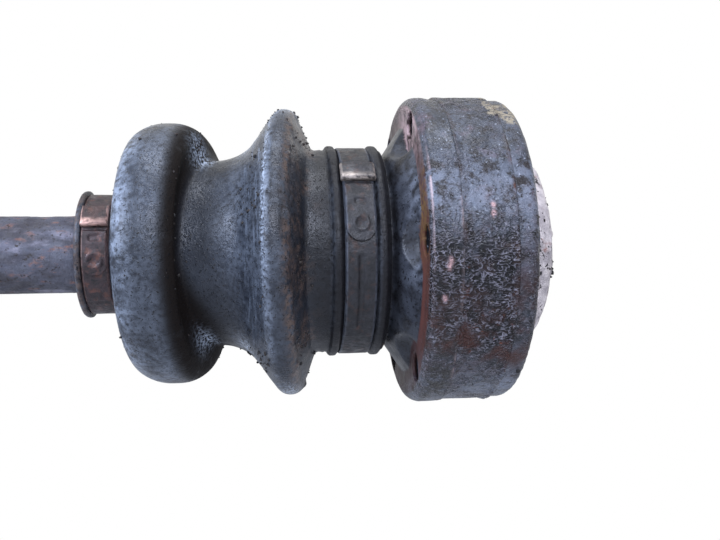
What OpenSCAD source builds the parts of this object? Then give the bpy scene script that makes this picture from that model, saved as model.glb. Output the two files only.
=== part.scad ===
// Half-shaft end: a solid bar with a six-ball plunging joint, its rubber boot, clamps and sheet covers.
// The shaft lies along X. The origin is the middle of the bolting face, and +X points out of it.

/* [Bar] */
// Diameter of the plain bar and of its spline tips
bar_d = 26.5; // [24:0.5:28]
// Length of the bar from end to end
bar_l = 380; // [320:5:480]
// Length of the splines at each end
spline_l = 32; // [30:0.5:40]
// Number of spline teeth
spline_teeth = 33; // [24:1:40]
// Height of a spline tooth
spline_depth = 1.1; // [0.8:0.1:1.3]
// Chamfer on the bar's ends
bar_chamfer = 1.5; // [0.8:0.1:2]
// Diameter of the shoulder that stops the joint
collar_d = 31; // [30:0.5:34]
// Length of that shoulder
collar_l = 5; // [3:0.5:8]
// Length of the cone from the shoulder down to the bar
collar_run = 7; // [4:0.5:12]
// Distance that the bar stands out past the inner race
bar_stub = 5; // [4:0.25:6]

/* [Joint] */
// Diameter of the outer race
race_d = 108; // [106:0.5:112]
// Width of the outer race
race_w = 32.8; // [31:0.2:36]
// Diameter of a ball
ball_d = 20; // [18:0.25:20.5]
// Least wall of the inner race, between the bar and a ball's track
inner_wall = 6.3; // [5.5:0.1:6.5]
// Wall of the ball cage
cage_t = 5.5; // [4.5:0.25:6.5]
// Width of the cage's rail beside each window
cage_rail = 3; // [2:0.25:3.5]
// Width of the inner race
inner_race_w = 24; // [22:0.5:25]
// Room between a ball and its tracks
track_gap = 0.45; // [0.4:0.05:0.6]
// Room between the cage and each race
cage_gap = 0.3; // [0.2:0.05:0.5]
// Thickness of the dished washer
washer_t = 1.8; // [1.2:0.1:2.4]
// Depth of the washer's dish
washer_dish = 1.2; // [0.6:0.1:1.6]
// Width of the washer's ring
washer_w = 5; // [3:0.25:6]
// Thickness of the circlip
circlip_t = 1.6; // [1.2:0.1:2]
// Width of the circlip's ring
circlip_w = 2.6; // [2:0.1:3.2]

/* [Bolting] */
// Distance from the race's edge in to the bolt circle
bolt_edge = 7; // [6.5:0.25:8]
// Diameter of a bolt hole
bolt_hole_d = 10.4; // [8.4:0.1:10.8]
// Diameter of the recess in the cover for a bolt's head
bolt_seat_d = 19; // [17:0.5:20]
// Depth that a bolt head's flat is pressed into the flange
seat_sink = 0.2; // [0.1:0.05:0.3]

/* [Boot cover] */
// Sheet thickness of the cover
cover_t = 1.5; // [1.2:0.1:1.8]
// Height of the cover's rim over the race
cover_proud = 0.9; // [0.6:0.1:1.2]
// Length of that rim
cover_rim_l = 15; // [10:0.5:17]
// Outer radius of the rim's corner
cover_corner = 4.5; // [3:0.25:5]
// Distance from the bolt circle in to the cone's foot on the flange
cone_inset = 3; // [2.5:0.25:4]
// Height of the cone
cone_l = 7.5; // [7:0.25:9]
// Bend radius at the cone's foot and at the neck
cone_bend = 1.5; // [1:0.1:2]
// Distance from the cone's foot in to the neck that carries the boot
neck_inset = 11; // [10:0.25:12]
// Length of the neck
neck_l = 21; // [19:0.5:22]

/* [Grease cap] */
// Sheet thickness of the cap
cap_t = 1.2; // [1:0.1:1.5]
// Length of the cap's rim over the race
cap_rim_l = 7.5; // [5:0.5:10]
// Outer radius of the rim's corner
cap_corner = 3; // [2:0.25:4]
// Distance from the bolt circle in to the dome's foot
dome_inset = 8.5; // [7.5:0.25:9]
// Height of the dome over the bolting face
dome_h = 19; // [17:0.5:22]
// Height of the dome's shoulder
dome_shoulder_h = 10; // [8.5:0.25:11]
// Distance from the dome's foot in to its shoulder
shoulder_inset = 5.5; // [4:0.25:6.5]
// Diameter of the dome's flat crown, before rounding
dome_crown_d = 20; // [14:1:28]
// Radius of the dome's shoulder
dome_round = 7; // [5:0.5:8]
// Radius at the crown's edge
crown_round = 24; // [15:1:30]
// Bend radius at the dome's foot
dome_bend = 2; // [1.5:0.1:2.5]

/* [Boot] */
// Wall of the bellows
boot_wall = 2.6; // [2:0.1:3]
// Room between the boot and what it fits on
boot_gap = 0.15; // [0.1:0.05:0.3]
// Wall of the large cuff
large_cuff_t = 2.9; // [2.5:0.1:3.5]
// Length of the large cuff
large_cuff_l = 22.6; // [21.5:0.2:26]
// Width of each bead beside the large clamp
bead_w = 4.2; // [3.4:0.1:4.6]
// Height of those beads
bead_h = 1.6; // [1.2:0.1:2]
// Length of the cuff past the last bead
cuff_lip = 0.6; // [0.4:0.1:1]
// Diameter of the large convolution
big_fold_d = 101.2; // [98:0.2:104]
// Width of the large convolution between its shoulders
big_fold_w = 5.6; // [5.2:0.2:9]
// Run of its flank on the joint's side
big_fold_flank = 5.9; // [4.5:0.1:8]
// Run of its long slope on the bar's side
big_fold_slope = 12.7; // [11:0.1:16]
// Radius of its shoulders
big_fold_round = 4.5; // [3.6:0.1:4.6]
// Radius at the foot of the long slope
slope_round = 15; // [10:0.5:16]
// Diameter of the valley between the convolutions
valley_d = 64.8; // [62:0.2:68]
// Length of the valley's floor
valley_l = 9.5; // [9:0.1:14]
// Radius of the valley's corner
valley_round = 1.2; // [0.8:0.1:2]
// Diameter of the small convolution
small_fold_d = 92; // [88:0.2:96]
// Width of the small convolution between its shoulders
small_fold_w = 20.4; // [20:0.2:28]
// Run of its flank on the joint's side
small_fold_flank = 6.3; // [5:0.1:9]
// Run of its flank on the bar's side
small_fold_root = 7.6; // [6:0.1:10]
// Radius of its shoulder on the joint's side
small_fold_round = 12; // [8:0.5:13]
// Radius of its shoulder on the bar's side
small_fold_crown = 14; // [9:0.5:14.5]
// Wall of the small cuff
small_cuff_t = 6.5; // [5:0.1:7.5]
// Length of the lip outside the small clamp
lip_l = 3; // [2.6:0.1:5]
// Height of that lip over the clamp's seat
lip_h = 2.2; // [1.4:0.1:2.6]
// Radius of the small bends in the rubber
rubber_bend = 1; // [0.6:0.1:1.2]

/* [Clamps] */
// Thickness of the steel strap
strap_t = 0.8; // [0.6:0.05:1]
// Room round a strap
strap_gap = 0.12; // [0.08:0.02:0.25]
// Width of the large strap
large_strap_w = 10.4; // [9:0.1:10.8]
// Width of the small strap
small_strap_w = 8.8; // [7:0.1:10]
// Height of the large buckle over its straps
large_buckle_h = 2.2; // [1.5:0.1:2.6]
// Height of the small buckle over its straps
small_buckle_h = 2.6; // [1.8:0.1:3.2]
// Where the large buckle sits round the shaft, from +Y towards +Z
large_buckle_at = 141; // [120:1:160]
// Where the small buckle sits round the shaft, from +Y towards +Z
small_buckle_at = 150; // [130:1:165]
// Angle that the large buckle covers
large_buckle_span = 11; // [8:0.5:14]
// Angle that the small buckle covers
small_buckle_span = 18; // [12:0.5:24]
// Angle from each buckle to the end of its second layer
large_tail = 92; // [70:1:120]
small_tail = 80; // [65:1:110]
// Angle from each buckle to the round of its tongue's end
large_tongue = 30; // [22:1:40]
small_tongue = 40; // [30:1:50]

/* [Hidden] */
$fn = 96;

// Shared clearances, the circlip groove's depth below the splines, cutting depth and arc fineness
groove_depth = 0.6;
press_gap = 0.04;
flat_gap = 0.05;
cut = 1;
arc_steps = 6;
balls = 6;
pitch = 360 / balls;
first_ball = 90;

// Places along X, from the bolting face towards the bar's far end
race_right = -cap_t;
race_left = race_right - race_w;
cover_face = race_left - cover_t;
joint_x = race_right - race_w / 2;
neck_start = cover_face - cone_l;
neck_end = neck_start - neck_l;
inner_right = joint_x + inner_race_w / 2;
inner_left = joint_x - inner_race_w / 2;
collar_right = inner_left - washer_t - washer_dish;
bar_right = inner_right + bar_stub;
bar_left = bar_right - bar_l;
far_collar_left = bar_left + spline_l;

// Radii of the bar and the joint, from the race's edge inwards
race_r = race_d / 2;
bolt_circle_r = race_r - bolt_edge;
bar_r = bar_d / 2;
root_r = bar_r - spline_depth;
groove_r = root_r - groove_depth;
ball_r = ball_d / 2;
track_r = ball_r + track_gap;
ball_circle_r = bar_r + inner_wall + track_r;
cage_w = ball_d + 2 * cage_rail;
cage_out_r = ball_circle_r + cage_t / 2;
cage_in_r = ball_circle_r - cage_t / 2;
bolt_hole_r = bolt_hole_d / 2;
bolt_seat_r = bolt_seat_d / 2;
cover_r = race_r + cover_proud;
cover_in_r = cover_r - cover_t;
cap_in_r = race_r - cap_t;
cone_foot_r = bolt_circle_r - cone_inset;
neck_r = cone_foot_r - neck_inset;
dome_r = bolt_circle_r - dome_inset;

// Bend of the cone, and the length that its round takes from the neck
cone_angle = atan2(neck_inset, cone_l);
bend_run = cone_bend * tan(cone_angle / 2);

// The boot, from its large cuff to its small one
cuff_bore_r = neck_r + boot_gap;
cuff_r = cuff_bore_r + large_cuff_t;
cuff_end = neck_start - bend_run - boot_gap;
cuff_start = cuff_end - large_cuff_l;
big_right = cuff_start - big_fold_flank;
big_left = big_right - big_fold_w;
slope_foot = big_left - big_fold_slope;
valley_x = slope_foot - valley_l;
small_right = valley_x - small_fold_flank;
small_left = small_right - small_fold_w;
small_foot = small_left - small_fold_root;
seat_bore_r = bar_r + boot_gap;
seat_r = seat_bore_r + small_cuff_t;
seat_right = small_foot - rubber_bend;
seat_left = seat_right - small_strap_w - 2 * strap_gap;
boot_start = seat_left - lip_l;
valley_r = valley_d / 2;
valley_rise = 0.7;

// Places of the clamps
large_strap_x = cuff_end - cuff_lip - bead_w - strap_gap - large_strap_w / 2;
small_strap_x = seat_right - strap_gap - small_strap_w / 2;

// A corner is [x, radius, fillet]. unit() gives the direction from one corner to the next.
function flat_of(c) = [c[0], c[1]];
function unit(a, b) = (flat_of(b) - flat_of(a)) / norm(flat_of(b) - flat_of(a));
function left_of(d) = [-d[1], d[0]];
function turn_of(d, e) = atan2(d[0] * e[1] - d[1] * e[0], d * e);

// Points of one rounded corner b between its neighbours a and c
function corner_arc(a, b, c) =
    let (
        d = unit(a, b),
        e = unit(b, c),
        turn = turn_of(d, e),
        side = turn < 0 ? -1 : 1,
        start = flat_of(b) - d * b[2] * tan(abs(turn) / 2),
        middle = start + left_of(d) * side * b[2]
    )
    b[2] == 0 ? [flat_of(b)] : [
        for (i = [0 : arc_steps])
            let (s = turn * i / arc_steps)
            middle - side * b[2] * (left_of(d) * cos(s) - d * sin(s))
    ];

// Length that a corner's fillet takes from each of its sides
function fillet_run(a, b, c) = b[2] * tan(abs(turn_of(unit(a, b), unit(b, c))) / 2);
function side_length(a, b) = norm(flat_of(b) - flat_of(a));

// A path through corners, each rounded by its own fillet, or by as much of it as its sides have room for
function round_path(c) =
    let (
        last = len(c) - 1,
        runs = [for (i = [0 : last]) i == 0 || i == last ? 0 : fillet_run(c[i - 1], c[i], c[i + 1])]
    )
    [
        for (i = [0 : last])
            let (
                inner = i > 0 && i < last && runs[i] > 0,
                before = inner ? side_length(c[i - 1], c[i]) / (runs[i - 1] + runs[i]) : 1,
                after = inner ? side_length(c[i], c[i + 1]) / (runs[i] + runs[i + 1]) : 1,
                fillet = c[i][2] * min(1, before, after)
            )
            each (inner ? corner_arc(c[i - 1], [c[i][0], c[i][1], fillet], c[i + 1]) : [flat_of(c[i])])
    ];

// One corner moved sideways by w, to the right of its path, with its fillet grown or shrunk to match
function moved_corner(a, b, c, w) =
    let (
        d = unit(a, b),
        e = unit(b, c),
        turn = turn_of(d, e),
        across = (left_of(d) + left_of(e)) / norm(left_of(d) + left_of(e)),
        place = flat_of(b) - across * w / cos(turn / 2)
    )
    [place[0], place[1], b[2] == 0 ? 0 : b[2] + (turn < 0 ? -w : w)];
function moved_path(c, w) = [for (i = [1 : len(c) - 2]) moved_corner(c[i - 1], c[i], c[i + 1], w)];

// Where the line from a to b, moved sideways by w, passes the radius r
function moved_crossing(a, b, w, r) =
    let (d = unit(a, b), p = flat_of(a) - left_of(d) * w)
    [p[0] + d[0] * (r - p[1]) / d[1], r];

function backwards(v) = [for (i = [len(v) - 1 : -1 : 0]) v[i]];

// A body turned about the X axis from [x, radius] points, whole or from one angle to another
module turned(points) {
    rotate([0, 90, 0]) rotate_extrude() polygon([for (p = points) [p[1], p[0]]]);
}
module turned_arc(points, from, to) {
    rotate([from + 90, 0, 0]) rotate([0, 90, 0])
        rotate_extrude(angle = to - from) polygon([for (p = points) [p[1], p[0]]]);
}

// Rods along X and round the shaft
module rod(r, from, to) {
    translate([from, 0, 0]) rotate([0, 90, 0]) cylinder(r = r, h = to - from);
}
module around(radius, first) {
    for (i = [0 : balls - 1]) rotate([first + i * pitch, 0, 0]) translate([0, radius, 0]) children();
}
module bolt_rods(r, from, to) {
    around(bolt_circle_r, 0) rod(r, from, to);
}
module track_rods() {
    around(ball_circle_r, first_ball) rod(track_r, race_left - cut, race_right + cut);
}

// Outline of a splined section: four points to a tooth
tooth_root = 0.31;
tooth_tip = 0.17;
function spline_outline(gap) =
    let (step = 360 / spline_teeth, wider = gap / (PI * bar_d / spline_teeth))
    [
        for (i = [0 : spline_teeth - 1], k = [-tooth_root, -tooth_tip, tooth_tip, tooth_root])
            let (
                r = (abs(k) == tooth_tip ? bar_r : root_r) + gap,
                a = (i + k + sign(k) * wider) * step
            )
            [r * cos(a), r * sin(a)]
    ];
module splined(gap, from, to) {
    translate([from, 0, 0]) rotate([0, 90, 0]) linear_extrude(to - from) polygon(spline_outline(gap));
}

// Cuts at a bar's end: the chamfer and the circlip's groove. side is 1 at the joint, -1 at the far end.
groove_right = inner_right + circlip_t + flat_gap;
groove_in = bar_right - groove_right;
module end_cuts(x, side) {
    turned([
        [x + side * cut, bar_r - bar_chamfer - cut],
        [x + side * cut, bar_r + cut],
        [x - side * (bar_chamfer + cut), bar_r + cut]
    ]);
    turned([
        [x - side * groove_in, groove_r],
        [x - side * groove_in, bar_r + cut],
        [x - side * (groove_in + circlip_t + flat_gap), bar_r + cut],
        [x - side * (groove_in + circlip_t + flat_gap), groove_r]
    ]);
}

module axle_bar() {
    color("#6b4a3a") difference() {
        union() {
            turned([
                [far_collar_left, 0],
                [far_collar_left, collar_d / 2],
                [far_collar_left + collar_l, collar_d / 2],
                [far_collar_left + collar_l + collar_run, bar_r],
                [collar_right - collar_l - collar_run, bar_r],
                [collar_right - collar_l, collar_d / 2],
                [collar_right, collar_d / 2],
                [collar_right, 0]
            ]);
            splined(0, collar_right, bar_right);
            splined(0, bar_left, far_collar_left);
        }
        end_cuts(bar_right, 1);
        end_cuts(bar_left, -1);
    }
}

module inner_race() {
    color("#8d8f92") difference() {
        intersection() {
            translate([joint_x, 0, 0]) sphere(r = cage_in_r - cage_gap);
            rod(cage_in_r, inner_left, inner_right);
        }
        track_rods();
        splined(press_gap, inner_left - cut, inner_right + cut);
    }
}

// A window's outline, with round corners
window_round = 3;
window_gap = 0.15;
module cage_window() {
    half = ball_r + window_gap;
    side = half + 2 * window_gap;
    corners = [[-half, -side, window_round], [half, -side, window_round],
               [half, side, window_round], [-half, side, window_round]];
    path = concat([[0, -side, 0]], [for (i = [1 : 4]) corners[i % 4]], [[0, -side, 0]]);
    translate([joint_x, 0, 0]) rotate([-90, 0, 0]) linear_extrude(cage_out_r + cut)
        polygon(round_path(path));
}

module cage() {
    color("#77797d") difference() {
        intersection() {
            translate([joint_x, 0, 0]) sphere(r = cage_out_r);
            rod(cage_out_r, joint_x - cage_w / 2, joint_x + cage_w / 2);
        }
        translate([joint_x, 0, 0]) sphere(r = cage_in_r);
        around(0, first_ball) cage_window();
    }
}

// One ball, numbered round the shaft from the top
module ball(number) {
    color("#c9cbce") rotate([first_ball + (number - 1) * pitch, 0, 0])
        translate([joint_x, ball_circle_r, 0]) sphere(r = ball_r);
}

module outer_race() {
    spigot_right = race_right - cap_rim_l + cap_t;
    spigot_left = cover_face + cover_rim_l;
    bore_r = cage_out_r + cage_gap;
    cover_seat = cover_in_r - press_gap;
    cap_seat = cap_in_r - press_gap;
    inner_corner = cover_corner - cover_t;
    cap_inner_corner = cap_corner - cap_t;
    color("#4a4745") difference() {
        turned(round_path([
            [race_left, bore_r, 0],
            [race_left, cover_seat, inner_corner + press_gap],
            [spigot_left, cover_seat, 0],
            [spigot_left, race_r, 0],
            [spigot_right, race_r, 0],
            [spigot_right, cap_seat, 0],
            [race_right, cap_seat, cap_inner_corner + press_gap],
            [race_right, bore_r, 0]
        ]));
        track_rods();
        bolt_rods(bolt_hole_r, race_left - cut, race_right + cut);
    }
}

// The cover's outside from its rim to its neck, and the inside one sheet further in
cover_path = [
    [cover_face + cover_rim_l, cover_r, 0],
    [cover_face, cover_r, cover_corner],
    [cover_face, cone_foot_r, cone_bend],
    [neck_start, neck_r, cone_bend],
    [neck_end, neck_r, 0]
];
cover_foot = cover_path[2];
cover_neck = cover_path[3];
module boot_cover() {
    rim_x = cover_face + cover_rim_l;
    floor_x = race_left - seat_sink;
    inside = round_path(concat(
        [[rim_x, cover_in_r, 0]],
        moved_path(cover_path, -cover_t),
        [[neck_end, neck_r - cover_t, 0]]
    ));
    cone_top = moved_crossing(cover_foot, cover_neck, -cover_t / 2, neck_r - cover_t / 2);
    color("#4d4540") difference() {
        union() {
            turned(concat(round_path(cover_path), backwards(inside)));
            intersection() {
                bolt_rods(bolt_seat_r + cover_t, neck_end, floor_x);
                turned([
                    [floor_x, 0],
                    [floor_x, cover_foot[1]],
                    moved_crossing(cover_foot, cover_neck, -cover_t / 2, cover_foot[1]),
                    cone_top,
                    [cone_top[0], 0]
                ]);
            }
        }
        bolt_rods(bolt_seat_r, neck_end, cover_face + seat_sink);
        bolt_rods(bolt_hole_r, cover_face - cut, race_left + cut);
    }
}

// The cap's outside from its rim to the middle of its dome
cap_path = [
    [-cap_rim_l, race_r, 0],
    [0, race_r, cap_corner],
    [0, dome_r, dome_bend],
    [dome_shoulder_h, dome_r - shoulder_inset, dome_round],
    [dome_h, dome_crown_d / 2, crown_round],
    [dome_h, 0, 0]
];
module grease_cap() {
    color("#57504a") difference() {
        turned(concat([[-cap_rim_l, 0]], round_path(cap_path)));
        turned(concat(
            [[-cap_rim_l - cut, 0]],
            round_path(concat(
                [[-cap_rim_l - cut, cap_in_r, 0]],
                moved_path(cap_path, cap_t),
                [[dome_h - cap_t, 0, 0]]
            ))
        ));
        bolt_rods(bolt_hole_r, race_right - cut, cut);
    }
}

// The bellows' outside from the bar to the large cuff
fold_path = [
    [small_foot, seat_r, 2 * rubber_bend],
    [small_left, small_fold_d / 2, small_fold_crown],
    [small_right, small_fold_d / 2, small_fold_round],
    [valley_x, valley_r, valley_round],
    [slope_foot, valley_r + valley_rise, slope_round],
    [big_left, big_fold_d / 2, big_fold_round],
    [big_right, big_fold_d / 2, big_fold_round],
    [cuff_start, cuff_r, 2 * rubber_bend]
];
// A round bead on the large cuff, by its middle
function bead(x) = [
    [x - bead_w / 2, cuff_r, bead_h / 4],
    [x - bead_w / 4, cuff_r + bead_h, bead_w / 5],
    [x + bead_w / 4, cuff_r + bead_h, bead_w / 5],
    [x + bead_w / 2, cuff_r, bead_h / 4]
];
lip_path = [
    [boot_start, seat_bore_r, 0],
    [boot_start, seat_bore_r + rubber_bend, rubber_bend / 2],
    [seat_left - 2 * rubber_bend, seat_r + lip_h, 2 * rubber_bend],
    [seat_left, seat_r + lip_h, rubber_bend / 2],
    [seat_left, seat_r, rubber_bend / 4]
];
module boot() {
    last = len(fold_path) - 1;
    bead_left = large_strap_x - large_strap_w / 2 - strap_gap - bead_w / 2;
    bead_right = large_strap_x + large_strap_w / 2 + strap_gap + bead_w / 2;
    outside = round_path(concat(
        lip_path, fold_path, bead(bead_left), bead(bead_right),
        [[cuff_end, cuff_r, 0], [cuff_end, cuff_bore_r, 0]]
    ));
    inside = round_path(concat(
        [concat(moved_crossing(fold_path[0], fold_path[1], boot_wall, seat_bore_r), 0)],
        moved_path(fold_path, boot_wall),
        [concat(moved_crossing(fold_path[last - 1], fold_path[last], boot_wall, cuff_bore_r), 0)]
    ));
    color("#23252a") turned(concat(outside, backwards(inside)));
}

// A band of rectangular section round the shaft
function band(x, w, from_r, to_r) = [
    [x - w / 2, from_r], [x + w / 2, from_r], [x + w / 2, to_r], [x - w / 2, to_r]
];

// A strap clamp: one full turn, a second layer that may have a slot, and a round-ended tongue on top.
// Each layer is a little narrower than the one below, and sinks to the middle of it.
layer_step = 0.15;
slot_margin = 6;
module tongue_outline(r, length) {
    polygon(concat(
        [[2 * r, 0], [2 * r, -length], [-2 * r, -length], [-2 * r, 0]],
        [for (i = [0 : 2 * arc_steps]) let (a = 180 - 90 * i / arc_steps) [r * cos(a), r * sin(a)]]
    ));
}
module strap(x, r, w, at, span, tail, tongue, slotted) {
    top = r + strap_t;
    outer = top + strap_t;
    second_w = w - 2 * layer_step;
    tongue_w = second_w - 2 * layer_step;
    slot_w = w / 5;
    slot_depth = 0.7 * strap_t;
    end_r = tongue_w / 2 + layer_step;
    color("#5a4438") difference() {
        union() {
            turned(band(x, w, r, top));
            turned_arc(band(x, second_w, top - strap_t / 2, outer), at - span, at + tail);
            intersection() {
                turned_arc(band(x, tongue_w, outer - strap_t / 2, outer + strap_t),
                           at + 0.7 * span, at + tongue + span);
                rotate([at + tongue, 0, 0]) translate([x, 0, 0]) rotate([-90, 0, 0])
                    mirror([0, 1, 0]) linear_extrude(2 * outer) tongue_outline(end_r, 2 * outer);
            }
        }
        if (slotted)
            turned_arc(band(x, slot_w, outer - slot_depth, outer + cut),
                       at + tongue + span / 2 + slot_margin, at + tail - slot_margin);
    }
}

// A buckle: a folded bridge over the strap, rounded along its top edges
module buckle(x, r, w, h, at, span) {
    color("#7d5a48") turned_arc(
        round_path([
            [x - w / 2, r, 0], [x - w / 2, r + h, h / 3],
            [x + w / 2, r + h, h / 3], [x + w / 2, r, 0]
        ]),
        at - span / 2, at + span / 2
    );
}

large_strap_r = cuff_r + strap_gap;
small_strap_r = seat_r + strap_gap;
buckle_over = 1.2;
module large_clamp_strap() {
    strap(large_strap_x, large_strap_r, large_strap_w, large_buckle_at, large_buckle_span,
          large_tail, large_tongue, true);
}
module large_clamp_buckle() {
    buckle(large_strap_x, large_strap_r + 2 * strap_t + press_gap, large_strap_w + buckle_over,
           large_buckle_h, large_buckle_at, large_buckle_span);
}
module small_clamp_strap() {
    strap(small_strap_x, small_strap_r, small_strap_w, small_buckle_at, small_buckle_span,
          small_tail, small_tongue, false);
}
module small_clamp_buckle() {
    buckle(small_strap_x, small_strap_r + 2 * strap_t + press_gap, small_strap_w,
           small_buckle_h, small_buckle_at, small_buckle_span);
}

// A snap ring with a gap, in the bar's groove against the inner race
circlip_open = 26;
module circlip() {
    in_r = groove_r + press_gap;
    color("#3f4042") turned_arc(
        [[inner_right, in_r], [inner_right + circlip_t, in_r],
         [inner_right + circlip_t, in_r + circlip_w], [inner_right, in_r + circlip_w]],
        circlip_open / 2, 360 - circlip_open / 2
    );
}

// A spring washer, dished so that its outer edge meets the inner race
module dished_washer() {
    in_r = bar_r + flat_gap;
    color("#46484b") turned([
        [inner_left - washer_dish, in_r], [inner_left, in_r + washer_w],
        [inner_left - washer_t, in_r + washer_w], [inner_left - washer_dish - washer_t, in_r]
    ]);
}

axle_bar();
inner_race();
cage();
ball(1);  // ball_1
ball(2);  // ball_2
ball(3);  // ball_3
ball(4);  // ball_4
ball(5);  // ball_5
ball(6);  // ball_6
outer_race();
boot_cover();
grease_cap();
boot();
large_clamp_strap();
large_clamp_buckle();
small_clamp_strap();
small_clamp_buckle();
circlip();
dished_washer();
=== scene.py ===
import math

import bpy
import numpy as np
from mathutils import Matrix, Vector


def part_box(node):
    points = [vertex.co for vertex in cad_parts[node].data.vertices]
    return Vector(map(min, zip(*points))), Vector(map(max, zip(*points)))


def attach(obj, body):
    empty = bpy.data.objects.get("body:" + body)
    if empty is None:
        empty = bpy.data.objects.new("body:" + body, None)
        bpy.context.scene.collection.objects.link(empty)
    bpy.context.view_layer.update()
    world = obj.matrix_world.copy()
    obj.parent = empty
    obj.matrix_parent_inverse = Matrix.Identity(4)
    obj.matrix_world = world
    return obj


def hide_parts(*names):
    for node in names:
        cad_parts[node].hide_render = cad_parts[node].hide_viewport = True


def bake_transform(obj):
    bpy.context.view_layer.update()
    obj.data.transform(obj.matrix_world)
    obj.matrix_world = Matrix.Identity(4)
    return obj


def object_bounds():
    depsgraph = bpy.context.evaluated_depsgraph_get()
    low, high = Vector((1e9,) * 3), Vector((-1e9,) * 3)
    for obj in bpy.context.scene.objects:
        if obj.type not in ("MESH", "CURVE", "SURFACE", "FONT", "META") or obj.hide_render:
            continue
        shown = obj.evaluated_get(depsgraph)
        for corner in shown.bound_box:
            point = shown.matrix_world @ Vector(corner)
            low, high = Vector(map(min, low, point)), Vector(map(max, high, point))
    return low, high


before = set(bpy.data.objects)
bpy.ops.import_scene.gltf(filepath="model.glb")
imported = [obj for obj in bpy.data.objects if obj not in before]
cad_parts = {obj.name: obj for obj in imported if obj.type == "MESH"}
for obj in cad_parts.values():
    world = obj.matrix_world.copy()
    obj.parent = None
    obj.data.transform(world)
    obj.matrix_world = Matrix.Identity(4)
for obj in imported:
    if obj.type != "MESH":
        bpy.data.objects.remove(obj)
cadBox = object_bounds()  # the CAD model's own box, before anything is dressed
mm = 0.001


# Small helpers: colours, nodes, noise and meshes
def toLinear(hexColour):
    c = np.array([int(hexColour[i:i + 2], 16) for i in (1, 3, 5)]) / 255
    c = np.where(c <= 0.04045, c / 12.92, ((c + 0.055) / 1.055) ** 2.4)
    return (*c, 1.0)


def addNode(tree, kind, inputs=None, **settings):
    node = tree.nodes.new(kind)
    for key, value in settings.items():
        setattr(node, key, value)
    for key, value in (inputs or {}).items():
        if isinstance(value, bpy.types.NodeSocket):
            tree.links.new(value, node.inputs[key])
        else:
            node.inputs[key].default_value = toLinear(value) if isinstance(value, str) else value
    return node


def startMaterial(name, **sockets):
    material = bpy.data.materials.new(name)
    material.use_nodes = True
    tree = material.node_tree
    tree.nodes.clear()
    shader = addNode(tree, "ShaderNodeBsdfPrincipled", sockets)
    addNode(tree, "ShaderNodeOutputMaterial", {"Surface": shader.outputs[0]})
    where = addNode(tree, "ShaderNodeTexCoord").outputs["Object"]
    return material, tree, shader, where


def patches(tree, where, sizeMm, low, high, detail=4.0, rough=0.6, stretch=(1, 1, 1), kind="FBM"):
    # blotches of about sizeMm: noise eased from 0 at low to 1 at high
    spot = addNode(tree, "ShaderNodeMapping", {"Vector": where, "Scale": stretch}).outputs[0]
    inputs = {"Vector": spot, "Scale": 1 / (sizeMm * mm), "Detail": detail, "Roughness": rough}
    if kind == "RIDGED_MULTIFRACTAL":
        inputs["Offset"] = 1.0  # folds the noise at its zero lines
    noise = addNode(tree, "ShaderNodeTexNoise", inputs, noise_type=kind)
    ease = addNode(tree, "ShaderNodeMapRange", {"Value": noise.outputs[0], "From Min": low,
                                                "From Max": high}, interpolation_type="SMOOTHSTEP")
    return ease.outputs[0]


def share(tree, *parts):
    # the product of its parts: each is a socket, or the name of a mark that the mesh carries at its vertices
    total = None
    for part in parts:
        if isinstance(part, str):
            part = addNode(tree, "ShaderNodeAttribute", attribute_name=part).outputs["Fac"]
        if total:
            part = addNode(tree, "ShaderNodeMath", {0: total, 1: part}, operation="MULTIPLY",
                           use_clamp=True).outputs[0]
        total = part
    return total


def coat(tree, under, over, *parts):  # one colour over another, as far as the share of the parts goes
    mask = share(tree, *parts)
    return addNode(tree, "ShaderNodeMix", {0: mask, 6: under, 7: over}, data_type="RGBA").outputs[2]


def relief(tree, shader, *heights):
    # bumps stacked on each other: each is (height, depth in mm, strength)
    normal = None
    for height, depthMm, strength in heights:
        inputs = {"Height": height, "Distance": depthMm * mm, "Strength": strength}
        bump = addNode(tree, "ShaderNodeBump", inputs)
        if normal:
            tree.links.new(normal, bump.inputs["Normal"])
        normal = bump.outputs[0]
    tree.links.new(normal, shader.inputs["Normal"])


def hashed(cell, seed):
    # a fixed integer hash gives each lattice point a value from -1 to 1
    n = cell[..., 0] * 374761393 + cell[..., 1] * 668265263 + cell[..., 2] * 1442695041
    n = (n + seed * 97531) & 0xFFFFFFFF
    n = ((n ^ (n >> 13)) * 1274126177) & 0xFFFFFFFF
    n = n ^ (n >> 16)
    return (n & 0xFFFF) / 32767.5 - 1


def lumps(points, sizeMm, seed, octaves=3):
    # value noise: lattice values eased between eight corners, summed over halving sizes
    total, weight = 0, 0
    for octave in range(octaves):
        q = points / (sizeMm * mm) * 2 ** octave + 19.7 * octave
        cell = np.floor(q).astype(np.int64)
        f = q - cell
        f = f * f * (3 - 2 * f)
        value = 0
        for corner in np.ndindex(2, 2, 2):
            share = np.prod(np.where(np.array(corner) == 1, f, 1 - f), axis=-1)
            value = value + share * hashed(cell + np.array(corner), seed + octave)
        total = total + value * 0.5 ** octave
        weight += 0.5 ** octave
    return total / weight


def eased(low, high, value):  # 0 below low, 1 above high, smooth between
    t = np.clip((value - low) / (high - low), 0, 1)
    return t * t * (3 - 2 * t)


def between(value, rise, fall):  # 1 between two eased edges, each given as (from, to)
    return eased(*rise, value) * (1 - eased(*fall, value))


def bell(value, middle, width):  # 1 at the middle, falling off on both sides
    return np.exp(-((value - middle) / width) ** 2)


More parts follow.
